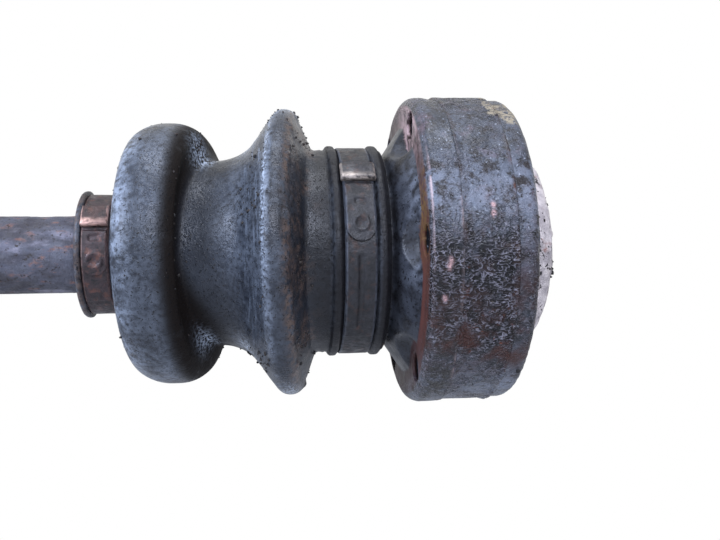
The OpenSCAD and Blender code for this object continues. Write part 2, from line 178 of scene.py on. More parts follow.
def roundedPath(corners, step):
    # straight runs joined by arcs: each corner is (x, radius, fillet) in mm, resampled at equal steps
    c = np.array(corners, float)
    points = [c[:1, :2]]
    for a, b, d in zip(c[:-2], c[1:-1], c[2:]):
        u = (b - a)[:2] / np.hypot(*(b - a)[:2])
        v = (d - b)[:2] / np.hypot(*(d - b)[:2])
        turn = math.atan2(u[0] * v[1] - u[1] * v[0], u @ v)
        out = np.array([u[1], -u[0]]) * b[2] * np.sign(turn)  # from the arc's middle to its start
        middle = b[:2] - u * b[2] * math.tan(abs(turn) / 2) - out
        t = np.linspace(0, turn, 13)[:, None]
        points.append(middle + out * np.cos(t) + np.array([-out[1], out[0]]) * np.sin(t))
    path = np.vstack(points + [c[-1:, :2]])
    run = np.concatenate([[0], np.cumsum(np.hypot(*np.diff(path, axis=0).T))])
    s = np.linspace(0, run[-1], int(run[-1] / step) + 1)
    return np.stack([np.interp(s, run, path[:, k]) for k in (0, 1)], 1)


def turnedGrid(profile, columns):
    # (x, radius) rows swept round the X axis: (x, r cos a, r sin a), in metres
    a = np.linspace(0, 2 * math.pi, columns, endpoint=False)
    x, r = profile[:, :1], profile[:, 1:]
    return np.stack([x + 0 * a, r * np.cos(a), r * np.sin(a)], -1) * mm


def gridNormals(grid):
    # cross product of the edge directions round the shaft and along the profile
    n = np.cross(np.roll(grid, -1, 1) - np.roll(grid, 1, 1), np.gradient(grid, axis=0))
    return n / np.linalg.norm(n, axis=-1, keepdims=True)


def gridFaces(rows, columns, closed=True, first=0):
    i = np.arange(rows - 1)[:, None] * columns + first
    j = np.arange(columns if closed else columns - 1)[None, :]
    k = (j + 1) % columns
    return np.stack([i + j, i + k, i + columns + k, i + columns + j], -1).reshape(-1, 4)


def angleOf(points):  # degrees round the shaft, from +Y towards +Z
    return np.degrees(np.arctan2(points[..., 2], points[..., 1])) % 360


def around(a, middle, width):  # a bell of that width in degrees, about one angle
    return bell((a - middle + 180) % 360 - 180, 0, width)


def addPiece(name, points, faces, materials, marks=None, normals=None, materialIndex=None):
    # faces is one array of quads, or several arrays of one size each
    faces = faces if isinstance(faces, list) else [faces]
    mesh = bpy.data.meshes.new(name)
    points = points.reshape(-1, 3)
    corners = np.concatenate([f.ravel() for f in faces])
    sizes = np.concatenate([np.full(len(f), f.shape[1]) for f in faces])
    mesh.vertices.add(len(points))
    mesh.vertices.foreach_set("co", points.astype(np.float32).ravel())
    mesh.loops.add(len(corners))
    mesh.loops.foreach_set("vertex_index", corners.astype(np.int32))
    mesh.polygons.add(len(sizes))
    mesh.polygons.foreach_set("loop_start", (np.cumsum(sizes) - sizes).astype(np.int32))
    mesh.polygons.foreach_set("use_smooth", np.ones(len(sizes), bool))
    if materialIndex is not None:
        mesh.polygons.foreach_set("material_index", materialIndex.astype(np.int32))
    mesh.update(calc_edges=True)
    for mark, values in (marks or {}).items():
        attribute = mesh.attributes.new(mark, "FLOAT", "POINT")
        attribute.data.foreach_set("value", values.astype(np.float32).ravel())
    if normals is not None:
        mesh.normals_split_custom_set(normals.tolist())
    piece = bpy.data.objects.new(name, mesh)
    bpy.context.collection.objects.link(piece)
    for material in materials:
        mesh.materials.append(material)
    return piece


def octahedronBall():
    # an octahedron split once and pushed out to a sphere: 18 points, 32 triangles
    v = np.array([[1, 0, 0], [-1, 0, 0], [0, 1, 0], [0, -1, 0], [0, 0, 1], [0, 0, -1]], float)
    f = [[0, 2, 4], [2, 1, 4], [1, 3, 4], [3, 0, 4], [2, 0, 5], [1, 2, 5], [3, 1, 5], [0, 3, 5]]
    edges = sorted({tuple(sorted((t[k], t[k - 1]))) for t in f for k in range(3)})
    halves = {e: 6 + i for i, e in enumerate(edges)}
    points = np.vstack([v, [(v[a] + v[b]) / math.sqrt(2) for a, b in edges]])
    faces = []
    for a, b, c in f:
        ab, bc, ca = (halves[tuple(sorted(p))] for p in ((a, b), (b, c), (c, a)))
        faces += [[a, ab, ca], [ab, b, bc], [ca, bc, c], [ab, bc, ca]]
    return points, np.array(faces)


def crumbs(grid, normals, weight, count, sizesMm, seed):
    # grit: uneven little balls sunk into the surface at points picked by weight
    draw = np.random.default_rng(seed)
    ball, faces = octahedronBall()
    chance = weight.ravel() / weight.sum()
    picked = draw.choice(chance.size, count, replace=False, p=chance)
    size = sizesMm[0] + (sizesMm[1] - sizesMm[0]) * draw.random(count) ** 3
    uneven = 0.65 + 0.6 * draw.random((count, len(ball), 1))
    shape = ball * uneven * (0.7 + 0.6 * draw.random((count, 1, 3)))
    middle = grid.reshape(-1, 3)[picked] + normals.reshape(-1, 3)[picked] * (0.1 * size * mm)[:, None]
    points = middle[:, None] + shape * (size * mm)[:, None, None] / 2
    return points, faces, picked


def crumbFaces(faces, points, first=0):  # one ball's faces, counted on for each crumb
    starts = np.arange(len(points)) * points.shape[1] + first
    return (faces[None] + starts[:, None, None]).reshape(-1, 3)


# Materials
def makeRubber():
    # moulded black rubber, oily: it shines softly, greys with bloom and a painted bluish sheen where it faces
    # up and towards the lamps, and holds brown dust with painted shade in its crease
    material, tree, shader, where = startMaterial("moulded_rubber")
    # rubber bloom, painted lighter where the boot faces up and taken out of its crease as painted shade
    bloom_and_painted_light = share(tree, "bloom_and_painted_light", patches(tree, where, 30, 0.3, 0.7, 5, 0.5))
    colour = coat(tree, "#131418", "#2b3039", bloom_and_painted_light)
    painted_sheen = patches(tree, where, 12, 0.3, 0.62, 8, 0.68)  # painted bluish sheen
    colour = coat(tree, colour, "#8a94a3", "painted_sheen", painted_sheen, patches(tree, where, 1.6, 0.3, 0.58, 4))
    grey = share(tree, bloom_and_painted_light, patches(tree, where, 0.8, 0.6, 0.78, 2))  # dust caught in the moulded grain
    colour = coat(tree, colour, "#5b626e", grey)
    lines = patches(tree, where, 0.8, 0.5, 0.72, 3, stretch=(1, 0.06, 0.06))  # rubbed round the shaft
    colour = coat(tree, colour, "#69727f", lines, "rub")
    # brown dust, with painted shade where it fills the crease
    dust_and_shade = share(tree, "dust_and_shade", patches(tree, where, 5, 0.16, 0.46, 6))
    colour = coat(tree, colour, "#161210", dust_and_shade)
    colour = coat(tree, colour, "#52443d", "brown", patches(tree, where, 2, 0.36, 0.62, 5))  # mud on edges
    # pale dust and painted highlights
    colour = coat(tree, colour, "#b4c0d0", "chalk_and_highlight", patches(tree, where, 0.9, 0.42, 0.6, 4))
    speck = patches(tree, where, 0.8, 0.56, 0.7, 2)
    colour = coat(tree, colour, "#0f0f11", speck)
    tree.links.new(colour, shader.inputs["Base Color"])
    rough = addNode(tree, "ShaderNodeMapRange", {"Value": patches(tree, where, 9, 0.3, 0.7, 6),
                                                 "To Min": 0.24, "To Max": 0.42}).outputs[0]
    tree.links.new(coat(tree, rough, (0.65, 0.65, 0.65, 1), dust_and_shade), shader.inputs["Roughness"])
    shine = coat(tree, (0.25, 0.25, 0.25, 1), (0.04, 0.04, 0.04, 1), dust_and_shade)
    tree.links.new(shine, shader.inputs["Specular IOR Level"])
    relief(tree, shader, (patches(tree, where, 3.2, 0.3, 0.7, 4), 0.2, 0.5),
           (patches(tree, where, 0.6, 0.35, 0.7, 2), 0.06, 0.6), (speck, 0.12, 0.6))
    return material


def makeGrit():
    # dried grease with road grit: matt black crumbs, some brown
    material, tree, shader, where = startMaterial("dried_grease_grit", Roughness=0.8)
    tone = patches(tree, where, 2.5, 0.35, 0.65, 3)
    tree.links.new(coat(tree, "#0d0c0e", "#2a221d", tone), shader.inputs["Base Color"])
    relief(tree, shader, (patches(tree, where, 0.4, 0.3, 0.7, 3), 0.1, 0.6))
    return material


wrinkled = (0.6, 1, 1)  # the dried skin's creases run further along the shaft than round it


def grime(tree, where):
    # road film on oil, on cover, race and cap alike: blue-grey and grained, with dark stains and painted
    # glints;
    # pale film with a painted sheen, black dried skin with painted highlights on its creases, red rust, pale
    # chips and mud lie where the mesh says
    colour = coat(tree, "#212328", "#444953", patches(tree, where, 6, 0.36, 0.66, 5))
    colour = coat(tree, colour, "#4f434a", patches(tree, where, 8, 0.52, 0.68, 4))
    # pale film and a painted sheen, where the mesh says
    colour = coat(tree, colour, "#717886", "film_and_sheen", patches(tree, where, 3.5, 0.24, 0.6, 6))
    colour = coat(tree, colour, "#1b191b", patches(tree, where, 5, 0.48, 0.63, 8, 0.7))  # dark stains
    colour = coat(tree, colour, "#131317", patches(tree, where, 1.1, 0.54, 0.68, 3))
    # painted glints: pale flecks that stand in for light caught on the grain
    colour = coat(tree, colour, "#888d98", patches(tree, where, 0.9, 0.64, 0.8, 1))
    skin = share(tree, "crust", patches(tree, where, 5, 0.24, 0.46, 5))
    tar = coat(tree, "#0a0a0c", "#221615", patches(tree, where, 6, 0.46, 0.66, 4))
    colour = coat(tree, colour, tar, skin)
    crease_highlights = patches(tree, where, 0.9, 0.85, 1.6, 3, stretch=wrinkled, kind="RIDGED_MULTIFRACTAL")
    crease_highlights = share(tree, crease_highlights, patches(tree, where, 2.6, 0.3, 0.62, 4))  # painted highlights on the tops of some creases
    colour = coat(tree, colour, "#7c7a84", skin, crease_highlights)
    colour = coat(tree, colour, "#3a211c", "rust", patches(tree, where, 7, 0.4, 0.66, 6))
    colour = coat(tree, colour, "#b08f8e", "chip", patches(tree, where, 0.8, 0.3, 0.5, 3))
    mud = share(tree, "mud", patches(tree, where, 1.4, 0.38, 0.56, 4))
    colour = coat(tree, colour, "#8c8270", mud)
    rough = addNode(tree, "ShaderNodeMapRange", {"Value": patches(tree, where, 3.5, 0.3, 0.7, 5),
                                                 "To Min": 0.26, "To Max": 0.46}).outputs[0]
    rough = coat(tree, rough, (0.2, 0.2, 0.2, 1), skin)
    return colour, coat(tree, rough, (0.9, 0.9, 0.9, 1), mud)


def wrinkle(tree, shader, where):
    # the dried skin lies in creases about 1 mm apart, over a finer grain that is everywhere
    creases = patches(tree, where, 0.9, 0.4, 1.8, 3, stretch=wrinkled, kind="RIDGED_MULTIFRACTAL")
    relief(tree, shader, (share(tree, creases, "crust"), 0.6, 1.0),
           (patches(tree, where, 0.8, 0.35, 0.7, 2), 0.08, 0.6))


def makeRaceRust():
    # forged steel left outdoors under its film, with flecks of fresh orange rust
    material, tree, shader, where = startMaterial("oily_rusted_forging", **{"Specular IOR Level": 0.25})
    colour, rough = grime(tree, where)
    fleck = share(tree, "rust", patches(tree, where, 2.4, 0.6, 0.74, 4))
    tree.links.new(coat(tree, colour, "#6a3a28", fleck), shader.inputs["Base Color"])
    tree.links.new(rough, shader.inputs["Roughness"])
    wrinkle(tree, shader, where)
    return material


def makeCoverSheet():
    # pressed sheet steel: rust where water stood on the flat, bare round the top hole,
    # with a painted highlight along the bend and at the seam
    material, tree, shader, where = startMaterial("painted_pressed_sheet", **{"Specular IOR Level": 0.25})
    colour, rough = grime(tree, where)
    cone = coat(tree, "#17171a", "#2e3138", patches(tree, where, 7, 0.35, 0.65, 5))
    # painted sheen: a bluish reflection on the cone, where the mesh says
    cone = coat(tree, cone, "#5c616b", "painted_cone_sheen", patches(tree, where, 4, 0.36, 0.66, 5))
    cone = coat(tree, cone, "#0c0b0d", patches(tree, where, 1.0, 0.56, 0.68, 2))
    colour = coat(tree, colour, cone, "cone")
    rust = share(tree, "flat", patches(tree, where, 6, 0.26, 0.46, 6))
    colour = coat(tree, colour, "#522e27", rust)
    colour = coat(tree, colour, "#6b5130", "gold", patches(tree, where, 2, 0.36, 0.6, 5))
    colour = coat(tree, colour, "#211e1a", "olive", patches(tree, where, 3, 0.36, 0.6, 5))
    colour = coat(tree, colour, "#b79b9a", "bare", patches(tree, where, 3.4, 0.35, 0.6, 5))
    # a painted highlight along the rim's bend and at the seam
    wear_and_highlight = share(tree, "wear_and_highlight", patches(tree, where, 3, 0.34, 0.6, 3))
    tree.links.new(coat(tree, colour, "#b09d9e", wear_and_highlight), shader.inputs["Base Color"])
    tree.links.new(coat(tree, rough, (0.75, 0.75, 0.75, 1), rust), shader.inputs["Roughness"])
    wrinkle(tree, shader, where)
    return material


def makeCapSheet():
    # thin drawn sheet: its dome has lost its film and is pale and pinkish, with black flecks of tar
    material, tree, shader, where = startMaterial("drawn_cap_sheet", **{"Specular IOR Level": 0.25})
    rim, rough = grime(tree, where)
    dome = coat(tree, "#a0989a", "#cfc6c4", patches(tree, where, 5, 0.35, 0.65, 6))
    dome = coat(tree, dome, "#8a6359", patches(tree, where, 4, 0.58, 0.74, 5))
    dome = coat(tree, dome, "#1c1b1e", patches(tree, where, 2.2, 0.58, 0.64, 4))
    tree.links.new(coat(tree, rim, dome, "bare"), shader.inputs["Base Color"])
    tree.links.new(coat(tree, rough, (0.55, 0.55, 0.55, 1), "bare"), shader.inputs["Roughness"])
    wrinkle(tree, shader, where)
    return material


def makeBarRust():
    # hot-rolled bar: brown scale in thin plates, darker pits, dusty violet-grey where it is rubbed
    material, tree, shader, where = startMaterial("rusted_rolled_bar", **{"Specular IOR Level": 0.4})
    long = (0.45, 1, 1)
    colour = coat(tree, "#302e34", "#4c4e59", patches(tree, where, 6, 0.35, 0.68, 6, stretch=long))
    colour = coat(tree, colour, "#67483d", patches(tree, where, 3, 0.54, 0.72, 5, stretch=long))
    colour = coat(tree, colour, "#716f7b", patches(tree, where, 8, 0.58, 0.74, 6, stretch=long))
    colour = coat(tree, colour, "#1d1615", patches(tree, where, 1.4, 0.58, 0.68, 4))
    tree.links.new(colour, shader.inputs["Base Color"])
    rough = addNode(tree, "ShaderNodeMapRange", {"Value": patches(tree, where, 3, 0.3, 0.7, 5),
                                                 "To Min": 0.5, "To Max": 0.85}).outputs[0]
    tree.links.new(rough, shader.inputs["Roughness"])
    relief(tree, shader, (patches(tree, where, 1.6, 0.3, 0.7, 5), 0.25, 0.7),
           (patches(tree, where, 0.5, 0.35, 0.7, 2), 0.08, 0.5))
    return material


def makeBandSteel(name, dark, mid, bright, rusty):
    # rolled strap steel: dark and greasy, its edges rubbed bright, a buckle's folded lip with a painted
    # highlight, rust from below
    material, tree, shader, where = startMaterial(name, Metallic=0.35)
    colour = coat(tree, dark, mid, patches(tree, where, 4, 0.34, 0.66, 6))
    colour = coat(tree, colour, rusty, patches(tree, where, 3, 0.52, 0.68, 5))
    colour = coat(tree, colour, "#141315", patches(tree, where, 1.3, 0.56, 0.66, 4))
    wear_and_highlight = share(tree, "wear_and_highlight", patches(tree, where, 1.8, 0.3, 0.55, 5))
    colour = coat(tree, colour, bright, wear_and_highlight)
    tree.links.new(colour, shader.inputs["Base Color"])
    rough = addNode(tree, "ShaderNodeMapRange", {"Value": patches(tree, where, 2.5, 0.3, 0.7, 5),
                                                 "To Min": 0.35, "To Max": 0.65}).outputs[0]
    tree.links.new(rough, shader.inputs["Roughness"])
    relief(tree, shader, (patches(tree, where, 1.2, 0.3, 0.7, 5), 0.15, 0.6))
    return material


def makeGroundSteel(name, clean, stained, roughness):
    # hardened and ground steel under a film of old grease: even grey, cloudy brown stains
    material, tree, shader, where = startMaterial(name, Metallic=1.0)
    film_and_sheen = patches(tree, where, 6, 0.4, 0.7, 5)
    tree.links.new(coat(tree, clean, stained, film_and_sheen), shader.inputs["Base Color"])
    rough = addNode(tree, "ShaderNodeMapRange", {"Value": film_and_sheen, "To Min": roughness,
                                                 "To Max": roughness + 0.3}).outputs[0]
    tree.links.new(rough, shader.inputs["Roughness"])
    relief(tree, shader, (patches(tree, where, 0.4, 0.3, 0.7, 2, stretch=(3, 1, 1)), 0.01, 0.3))
    return material


rubber = makeRubber()
grit = makeGrit()
raceRust = makeRaceRust()
coverSheet = makeCoverSheet()
capSheet = makeCapSheet()
barRust = makeBarRust()
bandSteel = makeBandSteel("greasy_strap_steel", "#111114", "#232327", "#4d525c", "#2e211e")
buckleSteel = makeBandSteel("worn_buckle_steel", "#1d1c1f", "#343235", "#a89c92", "#422c25")
rustyBand = makeBandSteel("rusted_strap_steel", "#1e1718", "#35282a", "#6f5852", "#4d3028")
copperBuckle = makeBandSteel("rubbed_buckle_steel", "#1e1616", "#3c2b29", "#cfa89b", "#432a24")
jointSteel = makeGroundSteel("ground_joint_steel", "#8f9195", "#4f453c", 0.3)
ballSteel = makeGroundSteel("polished_ball_steel", "#c4c6c9", "#857b70", 0.12)
springSteel = makeGroundSteel("blued_spring_steel", "#4a4d55", "#38322e", 0.35)
print("materials made:", len(bpy.data.materials))

# Nodes that keep their own solids
for node, material in {"axle_bar": barRust, "outer_race": raceRust, "inner_race": jointSteel,
                       "cage": jointSteel, "circlip": springSteel, "dished_washer": springSteel,
                       **{f"ball_{i}": ballSteel for i in range(1, 7)}}.items():
    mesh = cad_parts[node].data
    mesh.materials.clear()
    mesh.materials.append(material)

# Boot: a turned bellows of rubber, cut into five rings
bootSet = {
    "step": 0.6, "columns": 256, "wall": 2.6,
    "cuffR": 36.05, "cuffBore": 33.15, "seatR": 19.9, "seatBore": 13.4,
    "cuffFoot": -66.54, "seatFoot": -134.54,  # where the cuffs end and the folds begin
    "lip": (22.1, -144.58), "bigFold": (50.6, -78.04, -72.44), "smallFold": (45.4, -126.94, -106.54),
    "valley": (32.4, -100.24), "slopeFoot": (33.1, -90.74),
    "beads": (-61.48, -46.64), "beadH": 1.6, "beadW": 4.2,
    "cuts": (-122.0, -110.0, -94.0, -84.0),  # where one ring ends and the next begins
    "lean": 0.14, "leanFrom": -124.0, "leanTo": -76.0,  # the folds have set askew: x moves by lean times y
    # the valley has set more so on the near side
    "pinch": 0.21, "pinchFrom": -107.0, "pinchTo": -85.0, "pinchSoft": 8.0,
    "tuck": 0.15, "tuckFrom": -75.0, "tuckTo": -63.2,  # and the big fold's flank, drawn off the cuff
    "turnEnds": (-134.0, -68.5),  # where the boot sits on the bar and on the cover
    "slope": ((-90, -84), (-79, -77)), "flank": ((-72, -69.5), (-67, -64)),  # eased edges, in x
    "crease": ((-112.5, -107.5), (-103, -98)), "creaseBelow": (4, 8),  # its end, and so its painted shade, lies further on below
    # where the valley gets less painted sheen, where the lip ends, and where the cuff is made darker
    "valleySheenCut": ((-112, -104), (-80, -76)), "lipEdge": (-145.5, -143.5), "cuffDarkening": (-66, -62),
    "mouldLines": ((-64.6, 0.3, 0.6), (-70.6, -0.2, 0.4)), "fray": (-71.4, 0.7, 0.9),  # x, height, width
    "edgeMud": (-72.2, 1.4), "highlightLine": (-79, 0.7), "crumbs": 700, "crumbMm": (0.3, 1.2),
    # pale dry dust and painted highlights: (x, angle) of each patch
    "chalk_and_highlight": ((-103.5, 112), (-99, 112), (-87, 108), (-78, 104), (-73.5, 100), (-99.5, 246), (-88, 244),
              (-75, 255), (-105, 50), (-86, 300), (-75, 340), (-74, 25)),
}


def bootProfile(b):
    # the outside from the bar's lip to the large cuff, as corners with fillets
    start, end = (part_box("boot")[k][0] / mm for k in (0, 1))
    lipR, lipX = b["lip"]
    corners = [(start, b["seatBore"] + 0.5, 0), (start, b["seatBore"] + 1, 0.4), (lipX - 2, lipR, 1.3),
               (lipX, lipR, 0.5), (lipX, b["seatR"], 0.25), (b["seatFoot"], b["seatR"], 2),
               (b["smallFold"][1], b["smallFold"][0], 14), (b["smallFold"][2], b["smallFold"][0], 12),
               (b["valley"][1], b["valley"][0], 1.2), (b["slopeFoot"][1], b["slopeFoot"][0], 15),
               (b["bigFold"][1], b["bigFold"][0], 4.5), (b["bigFold"][2], b["bigFold"][0], 4.5),
               (b["cuffFoot"], b["cuffR"], 2)]
    for x in b["beads"]:
        corners += [(x + s * b["beadW"], b["cuffR"] + up * b["beadH"], fillet)
                    for s, up, fillet in ((-0.5, 0, 0.4), (-0.25, 1, 0.84), (0.25, 1, 0.84), (0.5, 0, 0.4))]
    corners += [(end, b["cuffR"], 0.3), (end, b["cuffBore"] + 0.5, 0)]
    return roundedPath(corners, b["step"])


def makeBoot(b):
    # the profile turned round the shaft: x moves by a share of y, the rise goes out along the normals,
    # and a second wall lies inside
    path = bootProfile(b)
    x = path[:, 0][:, None]
    smooth = turnedGrid(path, b["columns"])
    lean = b["lean"] * between(x, (b["seatFoot"], b["leanFrom"]), (b["leanTo"], b["cuffFoot"]))
    valleyX = b["valley"][1]
    pinch = b["pinch"] * between(x, (b["pinchFrom"], valleyX), (valleyX, b["pinchTo"]))
    tuck = b["tuck"] * between(x, (b["tuckFrom"], b["cuffFoot"]), (b["cuffFoot"], b["tuckTo"]))
    y = smooth[..., 1]
    smooth[..., 0] += lean * y + (pinch + tuck) * (y - np.hypot(y, b["pinchSoft"] * mm)) / 2
    out = gridNormals(smooth)
    folds = between(x, (b["seatFoot"], b["seatFoot"] + 6), (b["cuffFoot"] - 5, b["cuffFoot"]))
    slope = between(x, *b["slope"])
    # sag of the old rubber, fine lumps, and rings rubbed into the long slope
    rise = 0.4 * folds * lumps(smooth, 40, 3, 1) + 0.04 * lumps(smooth, 2.6, 5, 2)
    rings = lumps(np.stack([x * mm, 0 * x, 0 * x], -1), 1.3, 8, 2)
    lines = sum(height * bell(x, at, width) for at, height, width in b["mouldLines"])
    frayX, frayH, frayW = b["fray"]  # the fold's torn edge
    frayed = frayH * bell(x, frayX, frayW) * eased(0, 0.6, lumps(smooth, 4, 9, 2))
    rise = rise + 0.1 * slope * rings + lines + frayed
    outer = smooth + out * (rise * mm)[..., None]
    out = gridNormals(outer)
    # the inside lies one wall below the outside, and on the bores under the cuffs
    inner = smooth - out * b["wall"] * mm
    bore = np.where(x > b["cuffFoot"] - 2, b["cuffBore"], b["seatBore"])
    cuff = (x > b["cuffFoot"]) | (x < b["seatFoot"])
    flat = turnedGrid(np.concatenate([x, bore], 1), b["columns"])
    innerR = np.hypot(inner[..., 1], inner[..., 2]) / mm
    inner = np.where((cuff | (innerR < bore))[..., None], flat, inner)

    top = out[..., 2]
    a = angleOf(smooth)
    below = between(a, (185, 235), (320, 350))
    creaseEnd = [end + more * below for end, more in zip(b["crease"][1], b["creaseBelow"])]
    crease = between(x, b["crease"][0], creaseEnd)
    lip = 1 - eased(*b["lipEdge"], x)
    flank = between(x, *b["flank"])
    # painted sheen: what faces the bar's end, where the lamps stand, is painted paler, the valley less so
    lit = 0.2 + 0.95 * eased(0.05, 0.65, -out[..., 0])
    lit = lit * (1 - (0.8 + 0.06 * below) * between(x, *b["valleySheenCut"]))
    # the small fold's bottom and top are painted paler too, as painted light
    lit = lit + (0.9 * around(a, 255, 30) + 0.4 * around(a, 105, 25)) * (1 - eased(-114, -108, x))
    chalk_and_highlight = sum(0.75 * bell(x, spotX, 2.6) * around(a, spotA, 10) for spotX, spotA in b["chalk_and_highlight"])
    chalk_and_highlight = chalk_and_highlight + 0.75 * bell(x, *b["highlightLine"]) * around(a, 150, 42)  # a painted highlight along the big fold
    # the painted sheen is strongest on the near side; none lies in the crease, and little from the big fold's
    # right edge on
    sheen_share = lit * (0.4 + 0.6 * around(a, 165, 40)) * (1 - crease) * (1 - 0.8 * eased(-72, -68, x))
    mud = bell(x, *b["edgeMud"]) * eased(-0.4, 0.2, lumps(smooth, 14, 23, 2)) + 0.8 * lip
    marks = {
        # the bloom is painted lighter where the surface faces up, and is taken out of the crease as painted
        # shade and off the cuff
        "bloom_and_painted_light": np.clip(0.8 - 0.9 * crease - 0.85 * eased(-68, -64, x) + 0.25 * top, 0, 1),
        "rub": slope * (0.35 + 0.65 * eased(-0.2, 0.5, top)),
        "painted_sheen": np.clip(sheen_share, 0, 1),
        # brown dust and painted shade in the crease, dust on the lip, and the cuff made darker
        "dust_and_shade": np.clip(0.95 * crease + 0.4 * lip + 0.4 * eased(*b["cuffDarkening"], x), 0, 1),
        "brown": mud + 0.8 * flank * eased(-0.3, 0.3, lumps(smooth, 6, 25, 3)),
        "chalk_and_highlight": np.clip(chalk_and_highlight, 0, 1),
    }
    gritWeight = 0.05 + 0.12 * crease + 0.5 * slope + 0.5 * flank + 1.5 * chalk_and_highlight
    gritWeight = gritWeight * eased(-0.2, 0.5, lumps(smooth, 9, 21, 2))
    gritPoints, gritFaces, gritAt = crumbs(outer, out, gritWeight, b["crumbs"], b["crumbMm"], 4)

    rows = [0] + [int(np.argmax(path[:, 0] >= cut)) for cut in b["cuts"]] + [len(path) - 1]
    names = ["boot_tail", "boot_crown", "boot_waist", "boot_slope", "boot_cuff"]
    alongX = np.array([1.0, 0, 0])
    for k, name in enumerate(names):
        part = slice(rows[k], rows[k + 1] + 1)
        n, m = rows[k + 1] + 1 - rows[k], b["columns"]
        points = np.concatenate([outer[part].reshape(-1, 3), inner[part].reshape(-1, 3)])
        outside = gridFaces(n, m)
        inside = gridFaces(n, m, first=n * m)[:, ::-1]
        j = np.arange(m)
        nextJ = (j + 1) % m
        low = np.stack([j, n * m + j, n * m + nextJ, nextJ], 1)
        high = np.stack([j, nextJ, n * m + nextJ, n * m + j], 1) + (n - 1) * m
        flatOut = out[part].reshape(-1, 3)
        loopNormals = [flatOut[outside].reshape(-1, 3), -flatOut[inside - n * m].reshape(-1, 3),
                       np.tile(-alongX, (4 * m, 1)), np.tile(alongX, (4 * m, 1))]
        row = gritAt // m
        bits = gritPoints[(row >= rows[k]) & (row < rows[k + 1] + (k == len(names) - 1))]
        bitFaces = crumbFaces(gritFaces, bits, len(points))
        quads = np.concatenate([outside, inside, low, high])
        loopNormals.append(np.zeros((bitFaces.size, 3)))
        index = np.concatenate([np.zeros(len(quads)), np.ones(len(bitFaces))])
        pieceMarks = {key: np.concatenate([v[part].ravel(), v[part].ravel(), np.zeros(bits.size // 3)])
                      for key, v in marks.items()}
        piece = addPiece(name, np.concatenate([points, bits.reshape(-1, 3)]), [quads, bitFaces],
                         [rubber, grit], pieceMarks, np.concatenate(loopNormals), index)
        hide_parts("boot")
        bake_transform(piece)
    print("boot made:", len(path), "rows in", len(names), "rings,", len(gritPoints), "crumbs")


makeBoot(bootSet)

# The six bolt holes that go through the cover and the cap
boltSet = {"circleR": 47.0, "holeR": 5.2, "count": 6}


def boltPlace(points):
    # distance from the nearest bolt's middle, and that middle, seen along the shaft
    pitch = 2 * math.pi / boltSet["count"]
    a = np.round(np.arctan2(points[..., 2], points[..., 1]) / pitch) * pitch
    middle = np.stack([np.cos(a), np.sin(a)], -1) * boltSet["circleR"] * mm
    return np.linalg.norm(points[..., 1:] - middle, axis=-1) / mm, middle


def drill(grid, flat):
    # vertices inside a hole move out to its edge, and faces that lie wholly inside go
    d, middle = boltPlace(grid)
    inside = (d < boltSet["holeR"]) & flat
    away = (grid[..., 1:] - middle) / np.maximum(d * mm, 1e-9)[..., None]
    edge = middle + away * boltSet["holeR"] * mm
    drilled = grid.copy()
    drilled[..., 1:] = np.where(inside[..., None], edge, grid[..., 1:])
    faces = gridFaces(*grid.shape[:2])
    faces = faces[~inside.ravel()[faces].all(axis=1)]
    return drilled, faces


# Dirt on the joint's outside; each pale chip is (x, angle)
drumSet = {"chips": ((-15.2, 169), (-15.2, 172), (-29, 187), (-29.5, 189), (-30.6, 199.5)),
           "chipLength": 0.6, "chipTurn": 0.9}


def drumMarks(points):
    # by angle: dried skin on the side, rust below it, pale film and a painted sheen under and beside it, mud
    # above
    a = angleOf(points)
    x = points[..., 0] / mm
    skin = 1.3 * around(a, 199, 27) + around(a, 15, 30) + 0.7 * around(a, 300, 18)
    skin += 0.6 * around(a, 108, 22) + 0.4 * around(a, 245, 26)
    mud = 0.9 * around(a, 121, 19) * eased(-18, -9, x) + 0.9 * lumps(points, 4, 57, 4)
    chips = sum(bell(x, chipX, drumSet["chipLength"]) * around(a, chipA, drumSet["chipTurn"])
                for chipX, chipA in drumSet["chips"])
    rust = around(a, 218, 12) + 0.7 * around(a, 50, 14) + 0.4 * lumps(points, 16, 63, 2)
    # pale film with a painted sheen at the bottom, a painted sheen on the near side and a little on top
    film_and_sheen = around(a, 244, 20) + 0.8 * around(a, 165, 15) + 0.15 * around(a, 95, 30)
    return {"crust": np.clip(skin + 0.5 * lumps(points, 12, 51, 3), 0, 1),
            "rust": np.clip(rust, 0, 1), "film_and_sheen": np.clip(film_and_sheen, 0, 1),
            "mud": eased(0.6, 0.8, mud), "chip": np.clip(1.5 * chips, 0, 1)}


def creased(points):  # noise folded at its zero lines: 1 along the creases' tops
    return (1 - np.abs(lumps(points * wrinkled, 2.4, 53, 3))) ** 3


def sheetPiece(name, grid, faces, material, marks, thicknessMm):
    used, place = np.unique(faces, return_inverse=True)
    piece = addPiece(name, grid.reshape(-1, 3)[used], place.reshape(faces.shape), [material],
                     {key: v.ravel()[used] for key, v in marks.items()})
    solid = piece.modifiers.new("sheet", "SOLIDIFY")
    solid.thickness = thicknessMm * mm
    solid.offset = -1
    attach(piece, "joint_housing")
    return piece


# Boot cover: one pressed sheet from the boot's neck over the cone to the rim round the race
coverSet = {"step": 0.55, "columns": 400, "sheet": 1.5, "neckR": 33.0, "neckX": -43.0, "face": -35.5,
            "coneFootR": 44.0, "bend": 1.5, "corner": 4.5, "rimEnd": -24.8, "pocketR": (8.8, 11.0),
            "sink": 0.2, "dents": 0.22, "hollow": (-26, 2.6)}


